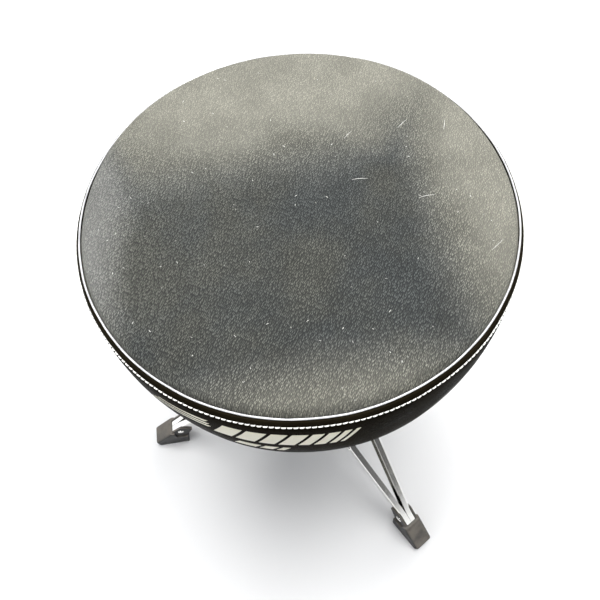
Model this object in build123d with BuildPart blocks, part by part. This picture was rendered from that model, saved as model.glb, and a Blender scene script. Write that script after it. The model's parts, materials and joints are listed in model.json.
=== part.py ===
"""Round drum throne: a padded seat on a threaded spindle over a folding tripod.

The seat's socket drops over the post at the top of the spindle and is clamped there.  The
spindle screws up and down in the nut of the hub casting, so that the seat rises as it turns.
Three legs, each a pair of channel straps, hinge on the hub.  Braces tie them to a collar
that slides on the central tube, so that the tripod folds as one.

Units are millimetres.  +Z is up, and the origin is on the floor, on the axis of the tube.
Legs are placed by azimuth, counted from +X towards +Y; "left" is the counter-clockwise side.
"""
import math
import os

from build123d import *

# ---------------------------------------------------------------- driving dimensions
SEAT_RADIUS = 176.0          # over the piping
SEAT_TOP = 567.0             # height of the top of the cushion at its rim
SEAT_DEPTH = 100.0           # rim to underside
SEAT_CROWN = 9.0             # rise of the cushion's middle above its rim
WALL_BULGE = 180.2           # largest radius of the side cover
WALL_BOTTOM_RADIUS = 174.6   # where the side cover starts to turn under
FABRIC_THICKNESS = 2.0
VINYL_THICKNESS = 1.5
PIPING_RADIUS = 3.0
BOARD_THICKNESS = 12.0
BOARD_RADIUS = 167.6
SOFT_GAP = 0.3               # between one soft layer and the next

PLATE_RADIUS = 62.0
PLATE_THICKNESS = 3.0
SCREW_CIRCLE = 45.0          # radius of the four seat screws
SOCKET_LENGTH = 45.0         # from the socket's mouth to its flange
SOCKET_RADIUS = 20.0
POST_RADIUS = 11.0           # plain post at the top of the spindle
RUNNING_GAP = 0.1            # radial clearance of a shaft or pin in its hole
FREE_GAP = 0.3               # clearance between faces of different bodies

THREAD_RADIUS = 12.5
THREAD_PITCH = 5.0
THREAD_DEPTH = 1.7
THREAD_BOTTOM = 176.0
THREAD_FLANKS = (1.2, 2.1, 3.1, 4.0)  # rises within one pitch: foot, crest, crest, foot
SHOULDER_TOP = 415.7
SHOULDER_THICKNESS = 4.2
SHOULDER_RADIUS = 17.0

TUBE_RADIUS = 15.9
TUBE_WALL = 1.6
TUBE_BOTTOM = 20.0
TUBE_TOP = 256.0
HUB_RADIUS = 23.0
HUB_BOTTOM = 222.0
HUB_TOP = 304.0
NUT_RADIUS = 18.0
NUT_BOTTOM = 256.4
NUT_HEIGHT = 23.0
LOCK_BOLT_HEIGHT = 291.5

LEG_AZIMUTHS = {"a": -60.0, "b": 180.0, "c": 60.0}
LEG_PIVOT = (36.0, 236.0)    # distance from the axis, height
LEG_FOOT = (228.0, 28.0)     # a point on the leg's centre line, in the foot
STRAP_HEIGHT = 16.0
STRAP_DEPTH = 8.0
SHEET = 2.0                  # sheet thickness of the leg channels
STRAP_SPREAD = 21.5          # outer half width of a leg at the hub
STRAP_TONGUE = 8.2           # outer half width of a leg in its foot
STRAP_START = -10.0          # distances along the leg, from its pivot
SPREAD_END = 105.0
TONGUE_START = 250.0
STRAP_END = 288.0
BEND_RADIUS = 60.0           # where the straps bend in plan
BRACE_ON_LEG = 100.0
FOOT_RIVET_ON_LEG = 255.0

COLLAR_PIVOT = (33.0, 98.0)
COLLAR_RADIUS = 23.0
COLLAR_HEIGHT = 20.0
BUSH_WALL = 2.0
BRACE_INNER = 5.0            # half of the gap between a pair of braces
BRACE_THICKNESS = 2.5
BRACE_WIDTH = 14.0

FOOT_HALF_WIDTH = 14.0
CHEEK_HALF_WIDTH = 11.0
FOOT_RIDGE = (227.0, 45.0)   # distance from the axis, height
FOOT_SOLE = (207.0, 251.0)   # distances of the flat sole's ends from the axis
FOOT_TOE = 256.0             # distance of the toe from the axis
FOOT_LEDGE = 28.0            # height of the ledge behind the ridge
FOOT_MOUTH = 243.0           # distance along the leg where the cheeks begin
MOUTH_END = 268.0            # distance along the leg where the open top of the foot ends

SOCKET_BOLT_AZIMUTH = 120.0
LOCK_BOLT_AZIMUTH = 120.0
COLLAR_BOLT_AZIMUTH = 0.0
BOLT_RADIUS = 4.0

# ---------------------------------------------------------------- derived sizes
SEAT_BOTTOM = SEAT_TOP - SEAT_DEPTH
BOARD_BOTTOM = SEAT_BOTTOM + VINYL_THICKNESS
BOARD_TOP = BOARD_BOTTOM + BOARD_THICKNESS
PLATE_BOTTOM = BOARD_BOTTOM - PLATE_THICKNESS
SOCKET_BOTTOM = SHOULDER_TOP + FREE_GAP
SOCKET_BOLT_HEIGHT = SOCKET_BOTTOM + 0.48 * SOCKET_LENGTH
PIPING_CENTRE = (SEAT_RADIUS - PIPING_RADIUS, SEAT_TOP - 1.0)
FABRIC_RADIUS = SEAT_RADIUS - 2 * PIPING_RADIUS - 0.2
LEG_ANGLE = math.atan2(LEG_FOOT[0] - LEG_PIVOT[0], LEG_PIVOT[1] - LEG_FOOT[1])


def radial(azimuth):
    """Unit vector that points outward at an azimuth."""
    angle = math.radians(azimuth)
    return Vector(math.cos(angle), math.sin(angle), 0)


def tangent(azimuth):
    """Unit vector that points counter-clockwise at an azimuth."""
    angle = math.radians(azimuth)
    return Vector(-math.sin(angle), math.cos(angle), 0)


def side_plane(azimuth):
    """Upright plane through the axis: local x is the radius, local y is the height."""
    return Plane(origin=(0, 0, 0), x_dir=radial(azimuth), z_dir=-tangent(azimuth))


def point_on_leg(along, above=0.0):
    """Radius and height of a point that lies along the leg and above its centre line."""
    radius = LEG_PIVOT[0] + along * math.sin(LEG_ANGLE) + above * math.cos(LEG_ANGLE)
    height = LEG_PIVOT[1] - along * math.cos(LEG_ANGLE) + above * math.sin(LEG_ANGLE)
    return radius, height


def leg_plane(azimuth):
    """Plane of a leg seen in plan: local x runs along the leg, local y to its left."""
    outward = radial(azimuth)
    up = Vector(0, 0, 1)
    origin = outward * LEG_PIVOT[0] + up * LEG_PIVOT[1]
    along = outward * math.sin(LEG_ANGLE) - up * math.cos(LEG_ANGLE)
    normal = outward * math.cos(LEG_ANGLE) + up * math.sin(LEG_ANGLE)
    return Plane(origin=origin, x_dir=along, z_dir=normal)


def cross_plane(azimuth, point, offset=0.0):
    """Plane across a leg at a point given by radius and height, facing its left side."""
    origin = radial(azimuth) * point[0] + Vector(0, 0, point[1])
    origin = origin + tangent(azimuth) * offset
    return Plane(origin=origin, x_dir=radial(azimuth), z_dir=tangent(azimuth))


def crown_height(radius):
    """Height of the cushion's top at a radius: a shallow spherical cap."""
    sphere = (FABRIC_RADIUS**2 + SEAT_CROWN**2) / (2 * SEAT_CROWN)
    return SEAT_TOP + SEAT_CROWN - sphere + math.sqrt(sphere**2 - radius**2)


def save(piece, name):
    """Label a finished piece and write it as one STEP file."""
    piece.part.label = name
    export_step(piece.part, f"parts/{name}.step")


# ---------------------------------------------------------------- seat
def wall_arc(inset):
    """Side cover's bulged profile, moved towards the axis by an inset."""
    top = (SEAT_RADIUS + 0.6 - inset, SEAT_TOP - 4.5)
    middle = (WALL_BULGE - inset, SEAT_TOP - 0.37 * SEAT_DEPTH)
    bottom = (WALL_BOTTOM_RADIUS - inset, SEAT_BOTTOM + 6.5)
    return top, middle, bottom


def crown_point(radius, drop=0.0):
    """Point of the cushion's top profile at a radius, lowered by a drop."""
    return radius, crown_height(radius) - drop


def make_seat_top_fabric():
    """Crowned disc of cloth over the foam."""
    radii = (0.0, FABRIC_RADIUS / 2, FABRIC_RADIUS)
    with BuildPart() as fabric:
        with BuildSketch(Plane.XZ):
            with BuildLine():
                upper = ThreePointArc(*[crown_point(radius) for radius in radii])
                lower = ThreePointArc(*[crown_point(radius, FABRIC_THICKNESS) for radius in radii])
                Line(upper @ 1, lower @ 1)
                Line(upper @ 0, lower @ 0)
            make_face()
        revolve(axis=Axis.Z)
    save(fabric, "seat_top_fabric")


def make_seat_foam():
    """Foam block between the board, the cloth and the side cover."""
    top, middle, bottom = wall_arc(VINYL_THICKNESS + SOFT_GAP)
    shoulder = (top[0], top[1] - 1.0)
    foam_rim = FABRIC_RADIUS - 1.0
    radii = (0.0, foam_rim / 2, foam_rim)
    drop = FABRIC_THICKNESS + SOFT_GAP
    below_board = (0, BOARD_TOP + SOFT_GAP)
    with BuildPart() as foam:
        with BuildSketch(Plane.XZ):
            with BuildLine():
                side = ThreePointArc(shoulder, middle, bottom)
                crown = ThreePointArc(*[crown_point(radius, drop) for radius in radii])
                Line(crown @ 1, side @ 0)
                Polyline(side @ 1, (0, bottom[1]), crown @ 0)
            make_face()
            with Locations(below_board):
                Rectangle(3 * SEAT_RADIUS, SEAT_DEPTH, align=(Align.CENTER, Align.MAX), mode=Mode.SUBTRACT)
        revolve(axis=Axis.Z)
    save(foam, "seat_foam")


def make_seat_side_cover():
    """Vinyl wall that turns under the board and is stapled there."""
    outer = wall_arc(0.0)
    inner = wall_arc(VINYL_THICKNESS)
    turn = BOARD_RADIUS + 0.6
    flange = BOARD_RADIUS - 30.0
    with BuildPart() as cover:
        with BuildSketch(Plane.XZ):
            with BuildLine():
                outside = ThreePointArc(*outer)
                inside = ThreePointArc(*inner)
                Line(outside @ 0, inside @ 0)
                ThreePointArc(outside @ 1, (turn + 4.6, SEAT_BOTTOM + 1.9), (turn, SEAT_BOTTOM))
                ThreePointArc(inside @ 1, (turn + 3.6, BOARD_BOTTOM + 1.5), (turn, BOARD_BOTTOM))
                Line((turn, SEAT_BOTTOM), (flange, SEAT_BOTTOM))
                Line((flange, SEAT_BOTTOM), (flange, BOARD_BOTTOM))
                Line((flange, BOARD_BOTTOM), (turn, BOARD_BOTTOM))
            make_face()
        revolve(axis=Axis.Z)
    save(cover, "seat_side_cover")


def make_seat_piping():
    """Round cord sewn between the cloth and the vinyl."""
    with BuildPart() as piping:
        with BuildSketch(Plane.XZ):
            with Locations(PIPING_CENTRE):
                Circle(PIPING_RADIUS)
        revolve(axis=Axis.Z)
    save(piping, "seat_piping")


def make_seat_board():
    """Plywood disc with counterbored holes for the tee nuts."""
    with BuildPart() as board:
        with BuildSketch(Plane.XY.offset(BOARD_BOTTOM)):
            Circle(BOARD_RADIUS)
        extrude(amount=BOARD_THICKNESS)
        chamfer(board.edges().filter_by(GeomType.CIRCLE).group_by(Axis.Z)[-1], 1.5)
        with Locations(Plane.XY.offset(BOARD_TOP)):
            with PolarLocations(SCREW_CIRCLE, 4, 45.0):
                CounterBoreHole(radius=4.2, counter_bore_radius=10.0, counter_bore_depth=1.6)
    save(board, "seat_board")


def make_seat_tee_nuts():
    """Four flanged nuts sunk in the top of the board."""
    flange = 1.4
    with BuildPart() as nuts:
        with BuildSketch(Plane.XY.offset(BOARD_TOP - flange)):
            with PolarLocations(SCREW_CIRCLE, 4, 45.0):
                Circle(9.8)
        extrude(amount=flange)
        with BuildSketch(Plane.XY.offset(BOARD_TOP - flange)):
            with PolarLocations(SCREW_CIRCLE, 4, 45.0):
                Circle(4.1)
        extrude(amount=-8.0)
        with BuildSketch(Plane.XY.offset(BOARD_TOP)):
            with PolarLocations(SCREW_CIRCLE, 4, 45.0):
                Circle(3.05)
        extrude(amount=-BOARD_THICKNESS, mode=Mode.SUBTRACT)
    save(nuts, "seat_tee_nuts")


def make_seat_dust_cover():
    """Thin black cloth disc stapled over the underside, open round the seat plate."""
    thickness = 0.8
    with BuildPart() as dust:
        with BuildSketch(Plane.XY.offset(SEAT_BOTTOM - thickness)):
            Circle(BOARD_RADIUS - 8.0)
            Circle(PLATE_RADIUS + 3.0, mode=Mode.SUBTRACT)
        extrude(amount=thickness)
    save(dust, "seat_dust_cover")


def make_dust_cover_staples():
    """Ring of wire staples that hold the dust cover."""
    count = 24
    crown = 1.0
    with BuildPart() as staples:
        with BuildSketch(Plane.XY.offset(SEAT_BOTTOM - 0.8)):
            with PolarLocations(BOARD_RADIUS - 14.0, count):
                RectangleRounded(1.4, 10.0, 0.6)
        extrude(amount=-crown)
    save(staples, "dust_cover_staples")


def make_seat_plate():
    """Pressed steel plate under the board."""
    with BuildPart() as plate:
        with BuildSketch(Plane.XY.offset(PLATE_BOTTOM)):
            Circle(PLATE_RADIUS)
            with PolarLocations(SCREW_CIRCLE, 4, 45.0):
                Circle(3.4, mode=Mode.SUBTRACT)
            with PolarLocations(SOCKET_RADIUS + 8.0, 4):
                Circle(2.6, mode=Mode.SUBTRACT)
        extrude(amount=PLATE_THICKNESS)
        fillet(plate.edges().filter_by(GeomType.CIRCLE).group_by(Axis.Z)[0].sort_by(SortBy.RADIUS)[-1], 1.2)
    save(plate, "seat_plate")


def make_seat_plate_screws():
    """Four pan-head screws that hold the plate to the tee nuts."""
    with BuildPart() as screws:
        with BuildSketch(Plane.XY.offset(PLATE_BOTTOM)):
            with PolarLocations(SCREW_CIRCLE, 4, 45.0):
                Circle(3.0)
        extrude(amount=BOARD_THICKNESS)
        with BuildSketch(Plane.XY.offset(PLATE_BOTTOM)):
            with PolarLocations(SCREW_CIRCLE, 4, 45.0):
                Circle(6.0)
        extrude(amount=-3.6)
        fillet(screws.edges().filter_by(GeomType.CIRCLE).group_by(Axis.Z)[0], 1.5)
    save(screws, "seat_plate_screws")


def make_seat_socket():
    """Cast socket that drops over the spindle's post, with a boss for its wing bolt."""
    flange_height = 5.0
    flange_radius = SOCKET_RADIUS + 14.0
    with BuildPart() as socket:
        with BuildSketch(Plane.XY.offset(SOCKET_BOTTOM)):
            Circle(SOCKET_RADIUS)
        extrude(amount=PLATE_BOTTOM - SOCKET_BOTTOM)
        with BuildSketch(Plane.XY.offset(PLATE_BOTTOM)):
            Circle(flange_radius)
        extrude(amount=-flange_height)
        fillet(socket.edges().filter_by(GeomType.CIRCLE).group_by(Axis.Z)[1].sort_by(SortBy.RADIUS)[0], 3.0)
        fillet(socket.edges().filter_by(GeomType.CIRCLE).group_by(Axis.Z)[0], 1.5)
        with BuildSketch(bolt_plane(SOCKET_BOLT_AZIMUTH, POST_RADIUS + 4.0, SOCKET_BOLT_HEIGHT)):
            Circle(9.0)
        extrude(amount=SOCKET_RADIUS + 11.0 - POST_RADIUS - 4.0)
        with BuildSketch(Plane.XY.offset(SOCKET_BOTTOM)):
            Circle(POST_RADIUS + RUNNING_GAP)
        extrude(amount=SOCKET_LENGTH, mode=Mode.SUBTRACT)
        with BuildSketch(bolt_plane(SOCKET_BOLT_AZIMUTH, 0.0, SOCKET_BOLT_HEIGHT)):
            Circle(BOLT_RADIUS + RUNNING_GAP)
        extrude(amount=2 * SOCKET_RADIUS, mode=Mode.SUBTRACT)
        with BuildSketch(Plane.XY.offset(PLATE_BOTTOM - flange_height)):
            with PolarLocations(SOCKET_RADIUS + 8.0, 4):
                Circle(2.6)
        extrude(amount=flange_height, mode=Mode.SUBTRACT)
    save(socket, "seat_socket")


def make_socket_rivets():
    """Four rivets that fix the socket's flange to the plate."""
    flange_height = 5.0
    with BuildPart() as rivets:
        with BuildSketch(Plane.XY.offset(PLATE_BOTTOM - flange_height)):
            with PolarLocations(SOCKET_RADIUS + 8.0, 4):
                Circle(2.5)
        extrude(amount=flange_height + PLATE_THICKNESS)
        with BuildSketch(Plane.XY.offset(PLATE_BOTTOM - flange_height)):
            with PolarLocations(SOCKET_RADIUS + 8.0, 4):
                Circle(4.4)
        extrude(amount=-2.0)
        fillet(rivets.edges().filter_by(GeomType.CIRCLE).group_by(Axis.Z)[0], 1.2)
    save(rivets, "socket_rivets")


# ---------------------------------------------------------------- wing bolts
def bolt_plane(azimuth, start, height):
    """Upright plane across a wing bolt, facing outward."""
    origin = radial(azimuth) * start + Vector(0, 0, height)
    return Plane(origin=origin, x_dir=tangent(azimuth), z_dir=radial(azimuth))


def wing_plane(azimuth, start, height):
    """Level plane through a wing bolt: local y points outward along the bolt."""
    origin = radial(azimuth) * start + Vector(0, 0, height)
    return Plane(origin=origin, x_dir=-tangent(azimuth), z_dir=Vector(0, 0, 1))


def make_wing_bolt(name, azimuth, tip, seat, height):
    """Wing bolt on a radial line, from its tip to the face its head meets and beyond."""
    hub_length = 11.0
    wing_thickness = 4.6
    wing_span = 16.0
    with BuildPart() as bolt:
        with BuildSketch(bolt_plane(azimuth, tip, height)):
            Circle(BOLT_RADIUS)
        extrude(amount=seat - tip + hub_length)
        with BuildSketch(bolt_plane(azimuth, seat + FREE_GAP, height)):
            Circle(7.5)
        extrude(amount=hub_length, taper=6)
        with BuildSketch(wing_plane(azimuth, seat + FREE_GAP, height)):
            with BuildLine():
                Polyline((0, 4), (6, 4), (wing_span, 9.5), (wing_span, 21.5), (6, 13), (0, 13))
                mirror(about=Plane.YZ)
            make_face()
            fillet([v for v in vertices() if abs(v.X) > wing_span - 0.5], 3.5)
        extrude(amount=wing_thickness / 2, both=True)
    save(bolt, name)


# ---------------------------------------------------------------- spindle
def make_threaded_spindle():
    """Threaded rod with a shoulder and a plain post for the seat.

    The thread is drawn as rings at its true pitch and depth.
    """
    root = THREAD_RADIUS - THREAD_DEPTH
    shoulder_bottom = SHOULDER_TOP - SHOULDER_THICKNESS
    turns = int((shoulder_bottom - THREAD_BOTTOM) // THREAD_PITCH)
    stub_radius = 8.0
    stub_bottom = THREAD_BOTTOM - 18.0
    post_top = SOCKET_BOTTOM + SOCKET_LENGTH - 1.5
    outline = [(0, stub_bottom), (stub_radius - 1, stub_bottom), (stub_radius, stub_bottom + 1)]
    outline += [(stub_radius, THREAD_BOTTOM), (root, THREAD_BOTTOM)]
    for turn in range(turns):
        base = THREAD_BOTTOM + turn * THREAD_PITCH
        radii = (root, THREAD_RADIUS, THREAD_RADIUS, root)
        outline += [(radius, base + rise) for radius, rise in zip(radii, THREAD_FLANKS)]
    outline += [(root, shoulder_bottom), (SHOULDER_RADIUS, shoulder_bottom)]
    outline += [(SHOULDER_RADIUS, SHOULDER_TOP), (POST_RADIUS, SHOULDER_TOP)]
    outline += [(POST_RADIUS, post_top - 1.5), (POST_RADIUS - 1.5, post_top), (0, post_top)]
    with BuildPart() as spindle:
        with BuildSketch(Plane.XZ):
            with BuildLine():
                Polyline(*outline, close=True)
            make_face()
        revolve(axis=Axis.Z)
    save(spindle, "threaded_spindle")


def make_spindle_guide_bush():
    """Nylon bush that rides inside the tube and steadies the foot of the spindle."""
    height = 15.0
    with BuildPart() as bush:
        with BuildSketch(Plane.XY.offset(THREAD_BOTTOM - FREE_GAP)):
            Circle(TUBE_RADIUS - TUBE_WALL - RUNNING_GAP)
            Circle(8.0 + RUNNING_GAP, mode=Mode.SUBTRACT)
        extrude(amount=-height)
    save(bush, "spindle_guide_bush")


def make_spindle_retaining_ring():
    """Snap ring under the guide bush."""
    with BuildPart() as ring:
        with BuildSketch(Plane.XY.offset(THREAD_BOTTOM - 16.9)):
            Circle(11.0)
            Circle(8.02, mode=Mode.SUBTRACT)
            with Locations((9.5, 0)):
                Rectangle(4.0, 2.4, mode=Mode.SUBTRACT)
        extrude(amount=1.2)
    save(ring, "spindle_retaining_ring")


# ---------------------------------------------------------------- base
def make_outer_tube():
    """Central tube that carries the hub and guides the collar."""
    with BuildPart() as tube:
        with BuildSketch(Plane.XY.offset(TUBE_BOTTOM)):
            Circle(TUBE_RADIUS)
            Circle(TUBE_RADIUS - TUBE_WALL, mode=Mode.SUBTRACT)
        extrude(amount=TUBE_TOP - TUBE_BOTTOM)
    save(tube, "outer_tube")


def make_tube_bottom_cap():
    """Plastic plug in the foot of the tube."""
    bore = TUBE_RADIUS - TUBE_WALL
    with BuildPart() as cap:
        with BuildSketch(Plane.XY.offset(TUBE_BOTTOM - 4.0)):
            Circle(TUBE_RADIUS + 0.4)
        extrude(amount=4.0)
        fillet(cap.edges().filter_by(GeomType.CIRCLE).group_by(Axis.Z)[0], 1.5)
        with BuildSketch(Plane.XY.offset(TUBE_BOTTOM)):
            Circle(bore - 0.05)
            Circle(bore - 2.5, mode=Mode.SUBTRACT)
        extrude(amount=12.0)
    save(cap, "tube_bottom_cap")


def make_hub_casting():
    """Cast hub: nut housing at the top, three leg lugs, and a boss for the lock bolt."""
    lug_radius = 11.0
    lug_half_width = STRAP_SPREAD - STRAP_DEPTH - FREE_GAP
    with BuildPart() as hub:
        with BuildSketch(Plane.XY.offset(HUB_BOTTOM)):
            Circle(HUB_RADIUS)
        extrude(amount=HUB_TOP - HUB_BOTTOM)
        fillet(hub.edges().filter_by(GeomType.CIRCLE).group_by(Axis.Z)[-1], 4.0)
        fillet(hub.edges().filter_by(GeomType.CIRCLE).group_by(Axis.Z)[0], 2.0)
        for azimuth in LEG_AZIMUTHS.values():
            with BuildSketch(side_plane(azimuth)):
                with Locations(LEG_PIVOT):
                    Circle(lug_radius)
                with Locations((LEG_PIVOT[0] / 2 + 6.0, LEG_PIVOT[1])):
                    Rectangle(LEG_PIVOT[0] - 12.0, 2 * lug_radius)
            extrude(amount=lug_half_width, both=True)
        with BuildSketch(bolt_plane(LOCK_BOLT_AZIMUTH, TUBE_RADIUS, LOCK_BOLT_HEIGHT)):
            Circle(8.0)
        extrude(amount=HUB_RADIUS + 7.0 - TUBE_RADIUS)
        with BuildSketch(Plane.XY.offset(HUB_BOTTOM)):
            Circle(TUBE_RADIUS + 0.05)
        extrude(amount=TUBE_TOP - HUB_BOTTOM + FREE_GAP, mode=Mode.SUBTRACT)
        with BuildSketch(Plane.XY.offset(TUBE_TOP + FREE_GAP)):
            Circle(NUT_RADIUS + 0.05)
        extrude(amount=NUT_HEIGHT + 0.3, mode=Mode.SUBTRACT)
        with BuildSketch(Plane.XY.offset(TUBE_TOP)):
            Circle(THREAD_RADIUS + 0.7)
        extrude(amount=HUB_TOP - TUBE_TOP, mode=Mode.SUBTRACT)
        with BuildSketch(bolt_plane(LOCK_BOLT_AZIMUTH, 0.0, LOCK_BOLT_HEIGHT)):
            Circle(BOLT_RADIUS + RUNNING_GAP)
        extrude(amount=2 * HUB_RADIUS, mode=Mode.SUBTRACT)
        for azimuth in LEG_AZIMUTHS.values():
            with BuildSketch(side_plane(azimuth)):
                with Locations(LEG_PIVOT):
                    Circle(BOLT_RADIUS + RUNNING_GAP)
            extrude(amount=2 * lug_half_width, both=True, mode=Mode.SUBTRACT)
        for azimuth, height in hub_screw_places():
            with BuildSketch(bolt_plane(azimuth, TUBE_RADIUS - 1.0, height)):
                Circle(2.55)
            extrude(amount=HUB_RADIUS, mode=Mode.SUBTRACT)
    save(hub, "hub_casting")


def hub_screw_places():
    """Azimuth and height of the screws that fix the nut, and of those that fix the tube."""
    nut_height = NUT_BOTTOM + NUT_HEIGHT / 2
    tube_height = HUB_BOTTOM + 8.0
    places = [(azimuth, nut_height) for azimuth in (0.0, -120.0)]
    places += [(azimuth, tube_height) for azimuth in (0.0, 120.0, -120.0)]
    return places


def make_hub_screws():
    """Socket screws in the hub's wall, their tips against the nut and the tube."""
    with BuildPart() as screws:
        for azimuth, height in hub_screw_places():
            tip = NUT_RADIUS if height > TUBE_TOP else TUBE_RADIUS
            with BuildSketch(bolt_plane(azimuth, tip + 0.1, height)):
                Circle(2.5)
            extrude(amount=HUB_RADIUS + 1.0 - tip)
            with BuildSketch(bolt_plane(azimuth, HUB_RADIUS + 1.1, height)):
                RegularPolygon(1.4, 6)
            extrude(amount=-2.0, mode=Mode.SUBTRACT)
    save(screws, "hub_screws")


def make_spindle_nut():
    """Steel nut in the hub's pocket; the spindle's thread runs in it."""
    with BuildPart() as nut:
        with BuildSketch(Plane.XY.offset(NUT_BOTTOM)):
            Circle(NUT_RADIUS)
            Circle(THREAD_RADIUS + RUNNING_GAP, mode=Mode.SUBTRACT)
        extrude(amount=NUT_HEIGHT)
    save(nut, "spindle_nut")


# ---------------------------------------------------------------- legs
def strap_half_width(along):
    """Outer half width of a leg at a distance along it."""
    if along <= SPREAD_END:
        return STRAP_SPREAD
    if along >= TONGUE_START:
        return STRAP_TONGUE
    share = (along - SPREAD_END) / (TONGUE_START - SPREAD_END)
    return STRAP_SPREAD + (STRAP_TONGUE - STRAP_SPREAD) * share


def strap_band(side, near, far, overrun):
    """Corners of one strap in plan, between two insets from its outer edge."""
    stations = [STRAP_START - overrun, SPREAD_END, TONGUE_START, STRAP_END + overrun]
    outer = [(x, side * (strap_half_width(x) - near)) for x in stations]
    inner = [(x, side * (strap_half_width(x) - far)) for x in reversed(stations)]
    return outer + inner


def at_bend(vertex):
    """True where a corner of a strap's plan is at one of its two bends."""
    return abs(vertex.X - SPREAD_END) < 0.1 or abs(vertex.X - TONGUE_START) < 0.1


def make_leg_strap(azimuth, side, name):
    """One channel strap of a leg: an upright web with two flanges that face inward."""
    plane = leg_plane(azimuth)
    half = STRAP_HEIGHT / 2
    with BuildPart() as strap:
        with BuildSketch(plane):
            with BuildLine():
                Polyline(*strap_band(side, 0.0, STRAP_DEPTH, 0.0), close=True)
            make_face()
            fillet(vertices().filter_by(at_bend), BEND_RADIUS)
        extrude(amount=half, both=True)
        rim = [edge for edge in strap.edges() if is_outer_rim(plane.to_local_coords(edge.center()), half)]
        fillet(rim, 1.6)
        with BuildSketch(plane):
            with BuildLine():
                Polyline(*strap_band(side, SHEET, STRAP_DEPTH + 2.0, 2.0), close=True)
            make_face()
            fillet(vertices().filter_by(at_bend), BEND_RADIUS)
        extrude(amount=half - SHEET, both=True, mode=Mode.SUBTRACT)
        with BuildSketch(side_plane(azimuth)):
            with BuildLine():
                Line(point_on_leg(0, half), point_on_leg(STRAP_END, half))
                Line(point_on_leg(STRAP_END, half), point_on_leg(STRAP_END, -half))
                Line(point_on_leg(STRAP_END, -half), point_on_leg(0, -half))
                ThreePointArc(point_on_leg(0, -half), point_on_leg(-half, 0), point_on_leg(0, half))
            make_face()
        extrude(amount=2 * STRAP_SPREAD, both=True, mode=Mode.INTERSECT)
        with BuildSketch(side_plane(azimuth)):
            with Locations(LEG_PIVOT):
                Circle(BOLT_RADIUS + 0.05)
            with Locations(point_on_leg(BRACE_ON_LEG)):
                Circle(3.55)
            with Locations(point_on_leg(FOOT_RIVET_ON_LEG)):
                Circle(3.05)
        extrude(amount=2 * STRAP_SPREAD, both=True, mode=Mode.SUBTRACT)
    save(strap, name)


def is_outer_rim(local, half):
    """True where a point in the leg's plane is on the outer edge of a strap's top or bottom."""
    on_rim = abs(abs(local.Z) - half) < 0.1
    return on_rim and abs(local.Y) > strap_half_width(local.X) - 2.0


def pin(azimuth, point, radius, start, end):
    """Add a round pin across a leg, from one offset to another along its tangent."""
    low, high = sorted((start, end))
    with Locations(cross_plane(azimuth, point, low)):
        Cylinder(radius, high - low, align=(Align.CENTER, Align.CENTER, Align.MIN))


def make_leg_pivot_rivet(letter, azimuth):
    """Rivet through both straps and the hub's lug."""
    head = 2.5
    with BuildPart() as rivet:
        pin(azimuth, LEG_PIVOT, BOLT_RADIUS, -STRAP_SPREAD, STRAP_SPREAD)
        for side in (-1, 1):
            spacer = (side * (STRAP_SPREAD - SHEET - 0.1), side * (STRAP_SPREAD - STRAP_DEPTH))
            pin(azimuth, LEG_PIVOT, 7.0, side * STRAP_SPREAD, side * (STRAP_SPREAD + head))
            pin(azimuth, LEG_PIVOT, 5.8, *spacer)
        ends = rivet.edges().filter_by(GeomType.CIRCLE).group_by(Axis((0, 0, 0), tangent(azimuth)))
        fillet(ends[0] + ends[-1], 1.4)
    save(rivet, f"leg_{letter}_pivot_rivet")


def make_leg_brace_studs(letter, azimuth):
    """Pair of riveted studs, one in each strap, that the braces pivot against."""
    point = point_on_leg(BRACE_ON_LEG)
    head = 2.2
    with BuildPart() as studs:
        for side in (-1, 1):
            web_face = side * (STRAP_SPREAD - SHEET - 0.05)
            pin(azimuth, point, 5.0, side * (STRAP_SPREAD - STRAP_DEPTH), web_face)
            pin(azimuth, point, 3.5, web_face, side * STRAP_SPREAD)
            pin(azimuth, point, 6.5, side * STRAP_SPREAD, side * (STRAP_SPREAD + head))
        ends = studs.edges().filter_by(GeomType.CIRCLE).group_by(Axis((0, 0, 0), tangent(azimuth)))
        fillet(ends[0] + ends[-1], 1.2)
    save(studs, f"leg_{letter}_brace_studs")


def make_foot_rivet(letter, azimuth):
    """Rivet through the foot's cheeks and the leg's tongue."""
    point = point_on_leg(FOOT_RIVET_ON_LEG)
    with BuildPart() as rivet:
        pin(azimuth, point, 3.0, -CHEEK_HALF_WIDTH, CHEEK_HALF_WIDTH)
        for side in (-1, 1):
            pin(azimuth, point, 4.6, side * CHEEK_HALF_WIDTH, side * (CHEEK_HALF_WIDTH + 1.8))
        ends = rivet.edges().filter_by(GeomType.CIRCLE).group_by(Axis((0, 0, 0), tangent(azimuth)))
        fillet(ends[0] + ends[-1], 1.2)
    save(rivet, f"leg_{letter}_foot_rivet")


def runs_across(edge, azimuth):
    """True where an edge is straight and square to the leg's upright plane."""
    return edge.geom_type == GeomType.LINE and abs(edge.tangent_at(0).dot(tangent(azimuth))) > 0.99


def is_nose_edge(edge, azimuth):
    """True for the edges round the foot's sloping nose, and down its outer end."""
    centre = edge.center()
    radius = centre.dot(radial(azimuth))
    along_side = not runs_across(edge, azimuth) and radius > FOOT_RIDGE[0] and centre.Z > 5.0
    across_top = runs_across(edge, azimuth) and radius > FOOT_RIDGE[0] - 1.0 and centre.Z > 10.0
    return along_side or across_top


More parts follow.
